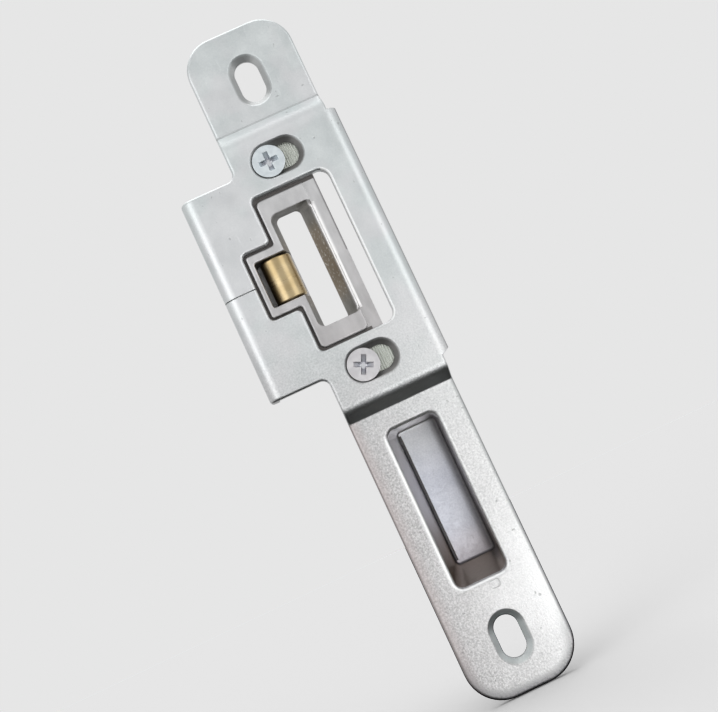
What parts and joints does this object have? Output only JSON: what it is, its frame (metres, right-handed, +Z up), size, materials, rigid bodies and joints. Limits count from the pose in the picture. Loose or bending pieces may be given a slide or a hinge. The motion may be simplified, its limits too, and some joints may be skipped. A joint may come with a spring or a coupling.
{
  "type": "door strike plate",
  "caption": "Door strike plate with a raised, lipped panel, a sideways adjustable latch keeper with a brass roller, clamping screws and a boxed bolt opening.",
  "frame": {"origin": "midway between the two mounting slots, on the plane of the end tabs' backs that bears on the door frame", "axes": "+Z up along the plate's length with the latch keeper above the bolt opening, +X to the right seen from the front, front towards -Y"},
  "size_m": [0.0404, 0.024, 0.1595],
  "materials": {
    "plated_steel": "bright zinc plating on pressed steel",
    "box_steel": "zinc plated, darker inside the box",
    "cast_zinc": "die-cast zinc, fine grained, satin",
    "brass": "turned brass, polished",
    "pin_steel": "ground steel",
    "screw_steel": "blue-white zinc plating"
  },
  "bodies": {
    "plate": {"frame_plate": "plated_steel", "bolt_box": "box_steel"},
    "keeper": {"latch_keeper": "cast_zinc", "roller_pin": "pin_steel", "keeper_screws": "screw_steel"},
    "roller": {"roller": "brass"}
  },
  "joints": [
    {"name": "keeper_slide", "type": "slide", "parent": "plate", "child": "keeper", "axis": [1, 0, 0], "range_m": [0, 0.0042]},
    {"name": "roller_spin", "type": "hinge", "parent": "keeper", "child": "roller", "pos_m": [-0.01193, -0.0005, 0.0234], "axis": [0, 0, 1], "continuous": true}
  ]
}
